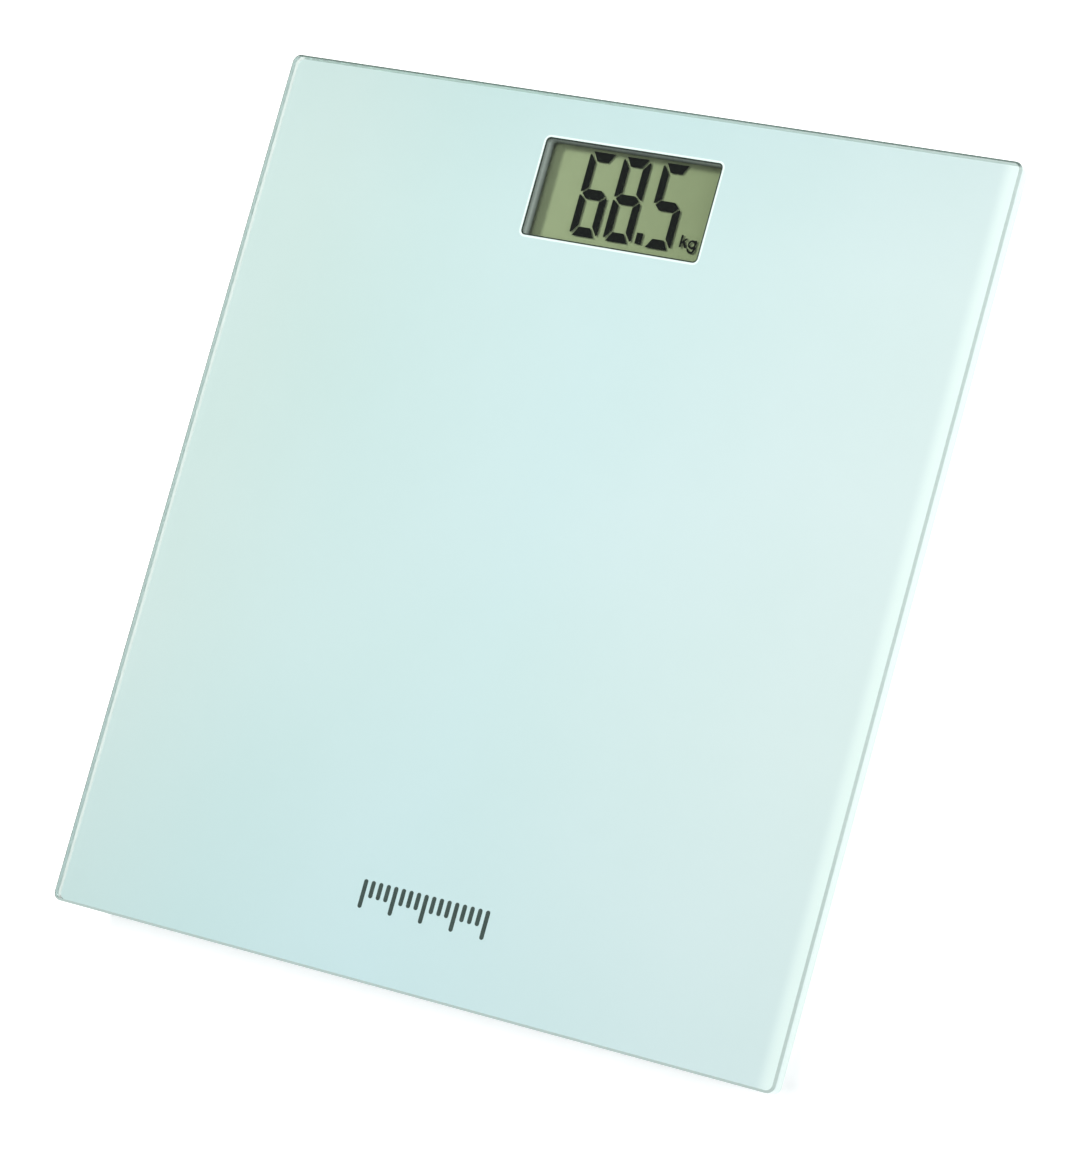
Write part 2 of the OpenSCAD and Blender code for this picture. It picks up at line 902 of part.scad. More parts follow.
module foot_pad(c) {
    r = foot_d / 2 - 1.5;
    color([0.35, 0.37, 0.38])
        at_corner(c)
            rotate_extrude()
                polygon([
                    [0, 0.5], [4, 0.5], [4.3, 0], [6.7, 0], [7, 0.5], [8, 0.5], [8.3, 0], [10.7, 0],
                    [11, 0.5], [12, 0.5], [12.3, 0], [r - 0.4, 0], [r, 0.4], [r, pad_t], [0, pad_t]
                ]);
}

module battery_door() {
    color(tray_colour)
        union() {
            block(
                [-door_w / 2, hinge_y, door_z],
                [door_w / 2, hinge_y + door_l, door_z + door_t]
            );
            translate([0, hinge_y, hinge_z])
                rotate([0, 90, 0])
                    cylinder(r = door_t / 2, h = door_w, center = true);
            translate([0, hinge_y, hinge_z])
                rotate([0, 90, 0])
                    cylinder(r = pin_r, h = door_w + 3, center = true);
            for (x = [-1, 1])
                block(
                    [x * 5 - 0.6, cell_bay_y - 7, door_z + door_t - eps],
                    [x * 5 + 0.6, cell_bay_y + 7, coin_z - 0.05]
                );
            for (k = [0:3])
                block(
                    [-6, hinge_y + door_l - 4 - 1.8 * k, door_z - 0.35],
                    [6, hinge_y + door_l - 3.2 - 1.8 * k, door_z + eps]
                );
        }
}

module unit_button() {
    color([0.55, 0.57, 0.58])
        translate([button_at[0], button_at[1], 0])
            rotate_extrude()
                polygon([
                    [0, tray_z + 0.6], [2, tray_z + 0.4], [button_r - 0.4, tray_z + 0.4],
                    [button_r, tray_z + 0.8], [button_r, floor_top], [flange_r, floor_top],
                    [flange_r, floor_top + flange_t], [0, floor_top + flange_t]
                ]);
}

module switch_plunger() {
    color("black")
        translate([button_at[0], button_at[1], 0])
            disc(1.5, floor_top + flange_t, switch_z + 0.5);
}

glass_platform();
backing_film();
mounting_tape();
window_gasket();
base_tray();
display_frame();
lcd_polarizer();
lcd_front_glass();
lcd_segments();
lcd_rear_glass();
lcd_reflector();
display_cushion();
contact_strip();
circuit_board();
controller_chip();
board_components();
unit_switch();
board_screws();
coin_cell_can();
coin_cell_seal();
coin_cell_cap();
battery_contact_negative();
battery_contact_positive();
battery_leads();
retainer_screws();
rating_label();
for (c = [0:3]) {
    load_cell(c);
    strain_gauge(c);
    cell_retainer(c);
    sensor_leads(c);
    foot_cap(c);
    foot_pad(c);
}
battery_door();
unit_button();
switch_plunger();
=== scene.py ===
import math

import bpy
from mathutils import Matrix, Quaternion, Vector


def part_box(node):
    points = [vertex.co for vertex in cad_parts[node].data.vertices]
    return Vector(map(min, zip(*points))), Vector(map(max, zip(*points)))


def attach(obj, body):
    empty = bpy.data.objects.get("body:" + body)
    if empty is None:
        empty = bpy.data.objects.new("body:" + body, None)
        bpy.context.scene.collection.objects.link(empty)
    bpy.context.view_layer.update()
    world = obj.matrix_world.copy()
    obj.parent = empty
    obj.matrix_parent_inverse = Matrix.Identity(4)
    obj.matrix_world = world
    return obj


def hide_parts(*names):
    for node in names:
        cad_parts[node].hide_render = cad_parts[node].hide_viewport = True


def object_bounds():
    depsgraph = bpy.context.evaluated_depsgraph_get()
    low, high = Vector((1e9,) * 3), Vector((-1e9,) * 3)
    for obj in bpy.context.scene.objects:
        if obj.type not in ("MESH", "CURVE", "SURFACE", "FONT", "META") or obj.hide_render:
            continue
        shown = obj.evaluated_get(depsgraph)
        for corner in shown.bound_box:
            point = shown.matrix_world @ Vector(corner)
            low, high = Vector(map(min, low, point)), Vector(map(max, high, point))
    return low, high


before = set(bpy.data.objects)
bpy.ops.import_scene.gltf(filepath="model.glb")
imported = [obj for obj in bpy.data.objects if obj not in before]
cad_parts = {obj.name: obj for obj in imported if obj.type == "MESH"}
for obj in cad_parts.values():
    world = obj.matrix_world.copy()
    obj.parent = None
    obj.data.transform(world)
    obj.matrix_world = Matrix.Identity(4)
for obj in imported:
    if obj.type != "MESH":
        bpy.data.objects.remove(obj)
cad_low, cad_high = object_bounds()


# ---------------------------------------------------------------------------
# The studio: a back-lit white table under a ceiling soft box, with a smaller key
# light from the far left that shades the display's recess, and a fill at the right.
# ---------------------------------------------------------------------------
def linear(hex_colour, alpha=1.0):
    """An sRGB hex colour as the linear RGBA that a shader socket takes."""
    channels = [int(hex_colour[i:i + 2], 16) / 255 for i in (1, 3, 5)]
    lit = [c / 12.92 if c <= 0.04045 else ((c + 0.055) / 1.055) ** 2.4 for c in channels]
    return (*lit, alpha)


def new_material(name):
    """A material with an empty node tree."""
    material = bpy.data.materials.new(name)
    material.use_nodes = True
    material.node_tree.nodes.clear()
    return material


def add_node(material, kind, settings=None, links=None):
    """Adds one shader node: settings are its properties or unlinked inputs, links are its linked ones."""
    node = material.node_tree.nodes.new(kind)
    for name, value in (settings or {}).items():
        if isinstance(name, int) or name in node.inputs:
            node.inputs[name].default_value = value
        else:
            setattr(node, name, value)
    for name, source in (links or {}).items():
        material.node_tree.links.new(source, node.inputs[name])
    return node


MM = 0.001
platform_top = cad_high[2]
camera_place = Vector((0.7767, -0.1608, platform_top + 1.2756))
aim_point = Vector((0.0108, -0.0087, platform_top))
camera_roll = math.radians(-64.86)

camera_data = bpy.data.cameras.new("studio_camera")
camera_data.lens = 145.0
camera_data.sensor_width = 36.0
camera = bpy.data.objects.new("studio_camera", camera_data)
bpy.context.scene.collection.objects.link(camera)
camera.location = camera_place
level_view = (aim_point - camera_place).to_track_quat("-Z", "Y")
camera.rotation_mode = "QUATERNION"
camera.rotation_quaternion = level_view @ Quaternion((0, 0, 1), camera_roll)
bpy.context.scene.camera = camera
bpy.context.scene.view_settings.view_transform = "Standard"

bpy.ops.object.select_all(action="DESELECT")
bpy.ops.mesh.primitive_grid_add(x_subdivisions=8, y_subdivisions=8, size=6)
table = bpy.context.object
table.name = "studio_table"
acrylic = new_material("back-lit opal acrylic")
table_place = add_node(acrylic, "ShaderNodeTexCoord")
table_grain_mm = 1.11
table_haze = add_node(
    acrylic,
    "ShaderNodeTexNoise",
    {"Scale": 1000.0 / table_grain_mm, "Detail": 3.0},
    {"Vector": table_place.outputs["Object"]},
)
table_relief = add_node(
    acrylic,
    "ShaderNodeBump",
    {"Strength": 0.05, "Distance": 0.1 * MM},
    {"Height": table_haze.outputs["Fac"]},
)
table_shader = add_node(
    acrylic,
    "ShaderNodeBsdfPrincipled",
    {
        "Base Color": linear("#F8F8F8"),
        "Roughness": 0.9,
        "Specular IOR Level": 0.1,
        "Emission Color": linear("#FFFFFF"),
        "Emission Strength": 0.4,
    },
    {"Normal": table_relief.outputs["Normal"]},
)
# clear from underneath, so that the scale's underside can be looked at too
table_side = add_node(acrylic, "ShaderNodeNewGeometry")
table_clear = add_node(acrylic, "ShaderNodeBsdfTransparent")
table_mix = add_node(
    acrylic,
    "ShaderNodeMixShader",
    links={0: table_side.outputs["Backfacing"], 1: table_shader.outputs[0], 2: table_clear.outputs[0]},
)
add_node(acrylic, "ShaderNodeOutputMaterial", links={"Surface": table_mix.outputs[0]})
table.data.materials.append(acrylic)


def soft_box(name, place, width, watts, colour):
    """Hangs a square soft box that faces the scale."""
    lamp = bpy.data.lights.new(name, "AREA")
    lamp.size = width
    lamp.energy = watts
    lamp.color = linear(colour)[:3]
    box = bpy.data.objects.new(name, lamp)
    box.location = place
    box.rotation_euler = (-Vector(place)).to_track_quat("-Z", "Y").to_euler()
    bpy.context.scene.collection.objects.link(box)
    return box


key_distance = 2.2
key_azimuth = math.radians(150)
key_height = math.radians(57)
key_place = (
    key_distance * math.cos(key_height) * math.cos(key_azimuth),
    key_distance * math.cos(key_height) * math.sin(key_azimuth),
    key_distance * math.sin(key_height),
)
key_box = soft_box("key_soft_box", key_place, width=0.4, watts=42.0, colour="#FFFEFA")
key_box.visible_glossy = False
key_box.visible_transmission = False
ceiling_box = soft_box("ceiling_soft_box", (0.15, 0, 2.0), width=1.1, watts=18.2, colour="#FFFFFF")
ceiling_box.visible_glossy = False
soft_box("right_soft_box", (0.95, 0.25, 0.7), width=0.6, watts=4.5, colour="#FFFFFF")

world = bpy.data.worlds.new("dim_studio")
bpy.context.scene.world = world
world.use_nodes = True
room = world.node_tree.nodes["Background"]
room.inputs["Color"].default_value = linear("#F6FBFF")
room.inputs["Strength"].default_value = 0.16


# ---------------------------------------------------------------------------
# Feet: a moulded ABS cap whose four claws snap through the retainer, and a rubber
# pad pressed into the cap's underside, ringed with low treads that grip the floor.
# ---------------------------------------------------------------------------
def clad(node_name, *materials):
    """Gives a CAD node its finishes, the first one all over."""
    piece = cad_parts[node_name]
    piece.data.materials.clear()
    for material in materials:
        piece.data.materials.append(material)
    return piece


def moulded_plastic(name, colour, grain_mm, roughness, relief=0.35):
    """An injection moulding: the grain of its spark-eroded tool, faint flow marks and a soft sheen."""
    plastic = new_material(name)
    place = add_node(plastic, "ShaderNodeTexCoord")
    grain = add_node(
        plastic,
        "ShaderNodeTexNoise",
        {"Scale": 1000.0 / grain_mm, "Detail": 4.0, "Roughness": 0.6},
        {"Vector": place.outputs["Object"]},
    )
    flow_mm = 45
    flow = add_node(
        plastic,
        "ShaderNodeTexNoise",
        {"Scale": 1000.0 / flow_mm, "Detail": 2.0},
        {"Vector": place.outputs["Object"]},
    )
    shade = linear(colour)
    darker = (*(0.93 * c for c in shade[:3]), 1)
    tone = add_node(
        plastic, "ShaderNodeMix", {"data_type": "RGBA", 6: darker, 7: shade}, {0: flow.outputs["Fac"]}
    )
    sheen = add_node(
        plastic,
        "ShaderNodeMapRange",
        {"To Min": roughness - 0.06, "To Max": roughness + 0.08},
        {"Value": grain.outputs["Fac"]},
    )
    bumps = add_node(
        plastic,
        "ShaderNodeBump",
        {"Strength": relief, "Distance": 0.05 * MM},
        {"Height": grain.outputs["Fac"]},
    )
    shader = add_node(
        plastic,
        "ShaderNodeBsdfPrincipled",
        {"IOR": 1.53},
        {
            "Base Color": tone.outputs[2],
            "Roughness": sheen.outputs["Result"],
            "Normal": bumps.outputs["Normal"],
        },
    )
    add_node(plastic, "ShaderNodeOutputMaterial", links={"Surface": shader.outputs[0]})
    return plastic


# thermoplastic rubber: matt and dark, with a pale dusty bloom on the treads that rub the floor
tread_h = 0.5 * MM
foot_rubber = new_material("thermoplastic rubber, foot pad")
rubber_place = add_node(foot_rubber, "ShaderNodeTexCoord")
rubber_axes = add_node(foot_rubber, "ShaderNodeSeparateXYZ", links={0: rubber_place.outputs["Object"]})
rubber_grain_mm = 0.4
rubber_grain = add_node(
    foot_rubber,
    "ShaderNodeTexNoise",
    {"Scale": 1000.0 / rubber_grain_mm, "Detail": 5.0},
    {"Vector": rubber_place.outputs["Object"]},
)
rubbed = add_node(
    foot_rubber,
    "ShaderNodeMapRange",
    {"From Min": tread_h, "From Max": 0.0, "To Min": 0.0, "To Max": 0.75},
    {"Value": rubber_axes.outputs["Z"]},
)
dust = add_node(
    foot_rubber,
    "ShaderNodeMath",
    {"operation": "MULTIPLY"},
    {0: rubbed.outputs[0], 1: rubber_grain.outputs["Fac"]},
)
rubber_tone = add_node(
    foot_rubber,
    "ShaderNodeMix",
    {"data_type": "RGBA", 6: linear("#3A3E40"), 7: linear("#8C8F8F")},
    {0: dust.outputs[0]},
)
rubber_bumps = add_node(
    foot_rubber,
    "ShaderNodeBump",
    {"Strength": 0.7, "Distance": 0.06 * MM},
    {"Height": rubber_grain.outputs["Fac"]},
)
rubber_shader = add_node(
    foot_rubber,
    "ShaderNodeBsdfPrincipled",
    {"Roughness": 0.82, "IOR": 1.5},
    {"Base Color": rubber_tone.outputs[2], "Normal": rubber_bumps.outputs["Normal"]},
)
add_node(foot_rubber, "ShaderNodeOutputMaterial", links={"Surface": rubber_shader.outputs[0]})

foot_abs = moulded_plastic("satin ABS, foot", "#DDE1E1", 0.6, 0.42)
corners = ["front_left", "front_right", "rear_left", "rear_right"]
for corner in corners:
    clad("foot_cap_" + corner, foot_abs)
    clad("foot_pad_" + corner, foot_rubber)

# ---------------------------------------------------------------------------
# Base tray: one injection-moulded ABS shell with ribs, posts and pockets; its
# outside is spark-eroded and dull, its inside is left as smooth as the core.
# ---------------------------------------------------------------------------
tray_outside = moulded_plastic("spark-eroded ABS, tray outside", "#E2E6E5", 0.9, 0.52, relief=0.7)
tray_inside = moulded_plastic("tool-polished ABS, tray inside", "#E2E6E5", 2.5, 0.34, relief=0.1)
tray = clad("base_tray", tray_outside, tray_inside)
tray_low, tray_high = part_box("base_tray")
half_floor, rim_w = 1.5 * MM, 3 * MM
floor_middle = tray_low[2] + half_floor
for face in tray.data.polygons:
    inside = face.center.z > floor_middle and all(
        low + rim_w < place < high - rim_w
        for low, place, high in zip(tray_low[:2], face.center, tray_high[:2])
    )
    face.material_index = int(inside or face.normal.z > 0.5)

# ---------------------------------------------------------------------------
# Battery door and unit button: small ABS mouldings that snap into the tray; the
# door turns on two stub pins and the button floats in its hole on a flange.
# ---------------------------------------------------------------------------
clad("battery_door", moulded_plastic("spark-eroded ABS, battery door", "#DFE3E3", 0.9, 0.5, relief=0.6))
clad("unit_button", moulded_plastic("satin ABS, unit button", "#6E7679", 0.5, 0.36))


# ---------------------------------------------------------------------------
# Load cells: stamped, nickel-plated steel plates, cut so that their middle tongue
# bends, with the strain gauges on it under a coat of white silicone.
# ---------------------------------------------------------------------------
def plated_steel(name, colour, roughness, lay_mm):
    """A stamped and tumbled sheet: a fine lay one way, dulled unevenly by the plating."""
    steel = new_material(name)
    place = add_node(steel, "ShaderNodeTexCoord")
    lay_length_mm = 12
    stretched = add_node(
        steel,
        "ShaderNodeMapping",
        {"Scale": (1000.0 / lay_mm, 1000.0 / lay_length_mm, 1000.0 / lay_mm)},
        {"Vector": place.outputs["Object"]},
    )
    lay = add_node(
        steel, "ShaderNodeTexNoise", {"Scale": 1.0, "Detail": 3.0}, {"Vector": stretched.outputs["Vector"]}
    )
    cloud_mm = 6.25
    cloud = add_node(
        steel,
        "ShaderNodeTexNoise",
        {"Scale": 1000.0 / cloud_mm, "Detail": 3.0},
        {"Vector": place.outputs["Object"]},
    )
    shade = linear(colour)
    duller = (*(0.82 * c for c in shade[:3]), 1)
    tone = add_node(
        steel, "ShaderNodeMix", {"data_type": "RGBA", 6: duller, 7: shade}, {0: cloud.outputs["Fac"]}
    )
    dulling = add_node(
        steel,
        "ShaderNodeMapRange",
        {"To Min": roughness - 0.1, "To Max": roughness + 0.12},
        {"Value": lay.outputs["Fac"]},
    )
    bumps = add_node(
        steel, "ShaderNodeBump", {"Strength": 0.25, "Distance": 0.02 * MM}, {"Height": lay.outputs["Fac"]}
    )
    shader = add_node(
        steel,
        "ShaderNodeBsdfPrincipled",
        {"Metallic": 1.0},
        {
            "Base Color": tone.outputs[2],
            "Roughness": dulling.outputs["Result"],
            "Normal": bumps.outputs["Normal"],
        },
    )
    add_node(steel, "ShaderNodeOutputMaterial", links={"Surface": shader.outputs[0]})
    return steel


cell_steel = plated_steel("nickel-plated steel, load cell", "#BDBFC0", 0.34, 0.3)
gauge_silicone = moulded_plastic("brushed-on silicone, gauge coat", "#EDEDE8", 1.6, 0.45, relief=0.9)
for corner in corners:
    clad("load_cell_" + corner, cell_steel)
    clad("strain_gauge_" + corner, gauge_silicone)

# ---------------------------------------------------------------------------
# Cell retainers: milky acetal plates that clamp each load cell in the tray's
# pocket, held by four zinc-plated countersunk screws that cut their own thread.
# ---------------------------------------------------------------------------
retainer_acetal = moulded_plastic("acetal, cell retainer", "#D3D8D8", 0.7, 0.34)
for corner in corners:
    clad("cell_retainer_" + corner, retainer_acetal)
screw_steel = plated_steel("bright zinc-plated steel, screws", "#C4C8CE", 0.28, 0.2)
clad("retainer_screws", screw_steel)


# ---------------------------------------------------------------------------
# Leads: three thin PVC-covered wires from each load cell and two from the coin
# cell, colour-coded, soldered through the board's holes.
# ---------------------------------------------------------------------------
def solids_of(piece):
    """The faces of each separate solid in a CAD node."""
    merge_step = 0.01 * MM
    faces = piece.data.polygons
    leader = list(range(len(faces)))

    def lead_of(index):
        while leader[index] != index:
            leader[index] = leader[leader[index]]
            index = leader[index]
        return index

    first_here = {}
    for face in faces:
        for corner_index in face.vertices:
            spot = tuple(round(c / merge_step) for c in piece.data.vertices[corner_index].co)
            leader[lead_of(face.index)] = lead_of(first_here.setdefault(spot, face.index))
    groups = {}
    for face in faces:
        groups.setdefault(lead_of(face.index), []).append(face)
    return list(groups.values())


def lowest_y(faces):
    """The y of the foremost face in a solid."""
    return min(face.center.y for face in faces)


lead_finishes = [
    moulded_plastic("extruded PVC, white lead", "#E6E7E4", 0.5, 0.38, relief=0.15),
    moulded_plastic("extruded PVC, red lead", "#B3261E", 0.5, 0.38, relief=0.15),
    moulded_plastic("extruded PVC, black lead", "#1B1C1D", 0.5, 0.38, relief=0.15),
]
for corner in corners:
    leads = clad("sensor_leads_" + corner, *lead_finishes)
    for colour_index, wire in enumerate(sorted(solids_of(leads), key=lowest_y)):
        for face in wire:
            face.material_index = colour_index
battery_leads = clad("battery_leads", *lead_finishes)
for face in battery_leads.data.polygons:
    face.material_index = 1 if face.center.x > 0 else 2

# ---------------------------------------------------------------------------
# Coin cell and contacts: a drawn stainless can and cap crimped round a nylon
# seal, touched by two bent springs of nickel-plated phosphor bronze.
# ---------------------------------------------------------------------------
clad("coin_cell_can", plated_steel("drawn stainless steel, coin-cell can", "#C9CCCF", 0.24, 0.25))
clad("coin_cell_cap", plated_steel("drawn stainless steel, coin-cell cap", "#BFC2C5", 0.3, 0.25))
clad("coin_cell_seal", moulded_plastic("nylon, coin-cell seal", "#2B2B2C", 0.5, 0.5))
contact_bronze = plated_steel("nickel-plated phosphor bronze", "#CDC5AC", 0.27, 0.2)
clad("battery_contact_negative", contact_bronze)
clad("battery_contact_positive", contact_bronze)

# ---------------------------------------------------------------------------
# Circuit board: glass-epoxy laminate under green solder mask, whose copper
# tracks show as paler raised lines; the routed edges show the bare laminate.
# ---------------------------------------------------------------------------
solder_mask = new_material("solder mask over copper tracks")
mask_place = add_node(solder_mask, "ShaderNodeTexCoord")
track_pitch_mm = 1.6
tracks = add_node(
    solder_mask,
    "ShaderNodeTexBrick",
    {
        "Scale": 1000.0 / (4 * track_pitch_mm),
        "Row Height": 0.25,
        "Brick Width": 1.3,
        "Mortar Size": 0.035,
        "Mortar Smooth": 0.1,
        "Color1": linear("#14572F"),
        "Color2": linear("#175E34"),
        "Mortar": linear("#2C8450"),
    },
    {"Vector": mask_place.outputs["Object"]},
)
track_relief = add_node(
    solder_mask,
    "ShaderNodeBump",
    {"Strength": 0.4, "Distance": 0.04 * MM},
    {"Height": tracks.outputs["Fac"]},
)
mask_shader = add_node(
    solder_mask,
    "ShaderNodeBsdfPrincipled",
    {"Roughness": 0.3, "Coat Weight": 0.3, "Coat Roughness": 0.2},
    {"Base Color": tracks.outputs["Color"], "Normal": track_relief.outputs["Normal"]},
)
add_node(solder_mask, "ShaderNodeOutputMaterial", links={"Surface": mask_shader.outputs[0]})
routed_edge = moulded_plastic("routed glass-epoxy laminate", "#A9A873", 0.3, 0.7, relief=0.8)
board = clad("circuit_board", solder_mask, routed_edge)
for face in board.data.polygons:
    face.material_index = int(abs(face.normal.z) < 0.5)
clad("board_screws", screw_steel)

# ---------------------------------------------------------------------------
# On the board: the controller under a blob of cast epoxy, ceramic capacitors,
# thick-film resistors, two tantalum capacitors, a connector and a can capacitor.
# ---------------------------------------------------------------------------
clad("controller_chip", moulded_plastic("cast black epoxy, controller", "#131313", 6.0, 0.16, relief=0.2))
components = clad(
    "board_components",
    moulded_plastic("fired ceramic, capacitors", "#A58760", 0.4, 0.5),
    moulded_plastic("thick-film resistors", "#1E1F21", 0.3, 0.4),
    moulded_plastic("moulded tantalum capacitors", "#D49A2A", 0.4, 0.42),
    moulded_plastic("nylon connector", "#E9E4D2", 0.5, 0.4),
    plated_steel("drawn aluminium can, capacitor", "#C9CBCD", 0.3, 0.3),
)
board_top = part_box("circuit_board")[1][2]
connector_h, tantalum_h, chip_h = 4 * MM, 2 * MM, 1 * MM


def kind_of_component(faces):
    """Which finish a solid on the board takes, told from its height and place."""
    height = max(face.center.z for face in faces) - board_top
    middle_x = sum(face.center.x for face in faces) / len(faces)
    if height > connector_h:
        return 4
    if height > tantalum_h:
        return 3
    if height > chip_h:
        return 2
    return 1 if middle_x > 0 else 0


for component in solids_of(components):
    finish = kind_of_component(component)
    for face in component:
        face.material_index = finish
clad("unit_switch", moulded_plastic("nylon, unit switch", "#26282A", 0.5, 0.45))
clad("switch_plunger", moulded_plastic("nylon, switch plunger", "#171717", 0.5, 0.4))


# ---------------------------------------------------------------------------
# Display: a reflective liquid-crystal cell, two sheets of thin glass between a
# polariser and a reflector, glued up without air so that its layers don't mirror.
# ---------------------------------------------------------------------------
def let_lamps_through(glass, finish, tint):
    """Mixes a glass's finish with a clear one that shadow and diffuse rays go straight through."""
    path = add_node(glass, "ShaderNodeLightPath")
    passing = add_node(
        glass,
        "ShaderNodeMath",
        {"operation": "MAXIMUM"},
        {0: path.outputs["Is Shadow Ray"], 1: path.outputs["Is Diffuse Ray"]},
    )
    clear = add_node(glass, "ShaderNodeBsdfTransparent", {"Color": linear(tint)})
    return add_node(
        glass,
        "ShaderNodeMixShader",
        links={0: passing.outputs[0], 1: finish.outputs[0], 2: clear.outputs[0]},
    )


def clear_glass(name, tint, ior):
    """A polished sheet of clear glass or film."""
    glass = new_material(name)
    polished = add_node(
        glass,
        "ShaderNodeBsdfPrincipled",
        {"Base Color": linear(tint), "Roughness": 0.0, "IOR": ior, "Transmission Weight": 1.0},
    )
    lit = let_lamps_through(glass, polished, tint)
    add_node(glass, "ShaderNodeOutputMaterial", links={"Surface": lit.outputs[0]})
    return glass


# the display's front: the glass sheet with its polariser as one laminate, stepped in at the film's
# edge, and lifted by the thickness of its glue
glued_ior = 1.02
front_low, front_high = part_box("lcd_front_glass")
film_low, film_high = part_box("lcd_polarizer")
bpy.ops.object.select_all(action="DESELECT")
glue_gap = 0.02 * MM
sheet_size = Vector(front_high) - Vector(front_low)
sheet_middle = (Vector(front_high) + Vector(front_low)) / 2
bpy.ops.mesh.primitive_cube_add(size=1, location=sheet_middle + Vector((0, 0, glue_gap)), scale=sheet_size)
laminate = bpy.context.object
laminate.name = "display_front_laminate"
bpy.ops.object.transform_apply(location=True, rotation=True, scale=True)
bpy.ops.object.mode_set(mode="EDIT")
bpy.ops.mesh.select_mode(type="FACE")
bpy.ops.object.mode_set(mode="OBJECT")
for face in laminate.data.polygons:
    face.select = face.normal.z > 0.5
bpy.ops.object.mode_set(mode="EDIT")
film_inset = front_high[0] - film_high[0]
bpy.ops.mesh.inset(thickness=film_inset)
bpy.ops.mesh.extrude_region_move(
    TRANSFORM_OT_translate={"value": (0, 0, film_high[2] - front_high[2] - glue_gap)}
)
bpy.ops.object.mode_set(mode="OBJECT")
edge_round = laminate.modifiers.new("ground edge", "BEVEL")
edge_round.width = 0.08 * MM
edge_round.segments = 2
edge_round.limit_method = "ANGLE"
bpy.ops.object.modifier_apply(modifier=edge_round.name)
laminate.data.materials.append(clear_glass("polariser on display glass", "#F2F5EA", glued_ior))
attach(laminate, "platform")
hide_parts("lcd_polarizer", "lcd_front_glass")

clad("lcd_rear_glass", clear_glass("soda-lime display glass", "#FBFDFA", glued_ior))

# the segments: crystal that is turned by its field and stops the light, so it looks nearly black
driven_crystal = new_material("driven liquid crystal")
crystal_place = add_node(driven_crystal, "ShaderNodeTexCoord")
crystal_haze_mm = 2.5
crystal_haze = add_node(
    driven_crystal,
    "ShaderNodeTexNoise",
    {"Scale": 1000.0 / crystal_haze_mm, "Detail": 2.0},
    {"Vector": crystal_place.outputs["Object"]},
)
crystal_tone = add_node(
    driven_crystal,
    "ShaderNodeMix",
    {"data_type": "RGBA", 6: linear("#030504"), 7: linear("#080C09")},
    {0: crystal_haze.outputs["Fac"]},
)
crystal_shader = add_node(
    driven_crystal,
    "ShaderNodeBsdfPrincipled",
    {"Roughness": 0.6, "Specular IOR Level": 0.05},
    {"Base Color": crystal_tone.outputs[2]},
)
add_node(driven_crystal, "ShaderNodeOutputMaterial", links={"Surface": crystal_shader.outputs[0]})
clad("lcd_segments", driven_crystal)

# the reflector: a grey-green film with the faint mottle of its metallised grain, and painted shade that
# darkens it towards the right
reflector_film = new_material("matt metallised reflector film")
film_place = add_node(reflector_film, "ShaderNodeTexCoord")
mottle_mm = 7.14
film_mottle = add_node(
    reflector_film,
    "ShaderNodeTexNoise",
    {"Scale": 1000.0 / mottle_mm, "Detail": 3.0},
    {"Vector": film_place.outputs["Object"]},
)
film_axes = add_node(reflector_film, "ShaderNodeSeparateXYZ", links={0: film_place.outputs["Object"]})
film_shade_spread = add_node(
    reflector_film,
    "ShaderNodeMapRange",
    {"From Min": film_low[0], "From Max": film_high[0]},
    {"Value": film_axes.outputs["X"]},
)
film_painted_shade = add_node(
    reflector_film,
    "ShaderNodeMix",
    {"data_type": "RGBA", 6: linear("#B0B0A6"), 7: linear("#9D9E90")},
    {0: film_shade_spread.outputs[0]},
)
film_tone = add_node(
    reflector_film,
    "ShaderNodeMix",
    {"data_type": "RGBA", "blend_type": "MULTIPLY", 7: linear("#F4F4F3")},
    {0: film_mottle.outputs["Fac"], 6: film_painted_shade.outputs[2]},
)
film_shader = add_node(
    reflector_film,
    "ShaderNodeBsdfPrincipled",
    {"Roughness": 0.6, "Specular IOR Level": 0.1},
    {"Base Color": film_tone.outputs[2]},
)
add_node(reflector_film, "ShaderNodeOutputMaterial", links={"Surface": film_shader.outputs[0]})
clad("lcd_reflector", reflector_film)

# the bezel: painted shade and light on its walls, pale at the rim and darker towards their foot, where
# the display's border shades them
bezel_abs = new_material("satin ABS, bezel")
bezel_place = add_node(bezel_abs, "ShaderNodeTexCoord")
bezel_axes = add_node(bezel_abs, "ShaderNodeSeparateXYZ", links={0: bezel_place.outputs["Object"]})
bezel_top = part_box("display_frame")[1][2]
bezel_shade_height = add_node(
    bezel_abs,
    "ShaderNodeMapRange",
    {"From Min": film_high[2], "From Max": bezel_top},
    {"Value": bezel_axes.outputs["Z"]},
)
bezel_painted_shade = add_node(bezel_abs, "ShaderNodeValToRGB", links={0: bezel_shade_height.outputs[0]})
bezel_painted_shade.color_ramp.elements[0].color = linear("#4F5A4F")
bezel_painted_shade.color_ramp.elements[1].color = linear("#B4BEB6")
bezel_wall_painted_light = bezel_painted_shade.color_ramp.elements.new(0.55)
bezel_wall_painted_light.color = linear("#E6EDE6")
bezel_grain_mm = 0.625
bezel_grain = add_node(
    bezel_abs,
    "ShaderNodeTexNoise",
    {"Scale": 1000.0 / bezel_grain_mm, "Detail": 4.0},
    {"Vector": bezel_place.outputs["Object"]},
)
bezel_bumps = add_node(
    bezel_abs,
    "ShaderNodeBump",
    {"Strength": 0.35, "Distance": 0.05 * MM},
    {"Height": bezel_grain.outputs["Fac"]},
)
bezel_shader = add_node(
    bezel_abs,
    "ShaderNodeBsdfPrincipled",
    {"Roughness": 0.5, "IOR": 1.53},
    {"Base Color": bezel_painted_shade.outputs["Color"], "Normal": bezel_bumps.outputs["Normal"]},
)
add_node(bezel_abs, "ShaderNodeOutputMaterial", links={"Surface": bezel_shader.outputs[0]})
clad("display_frame", bezel_abs)


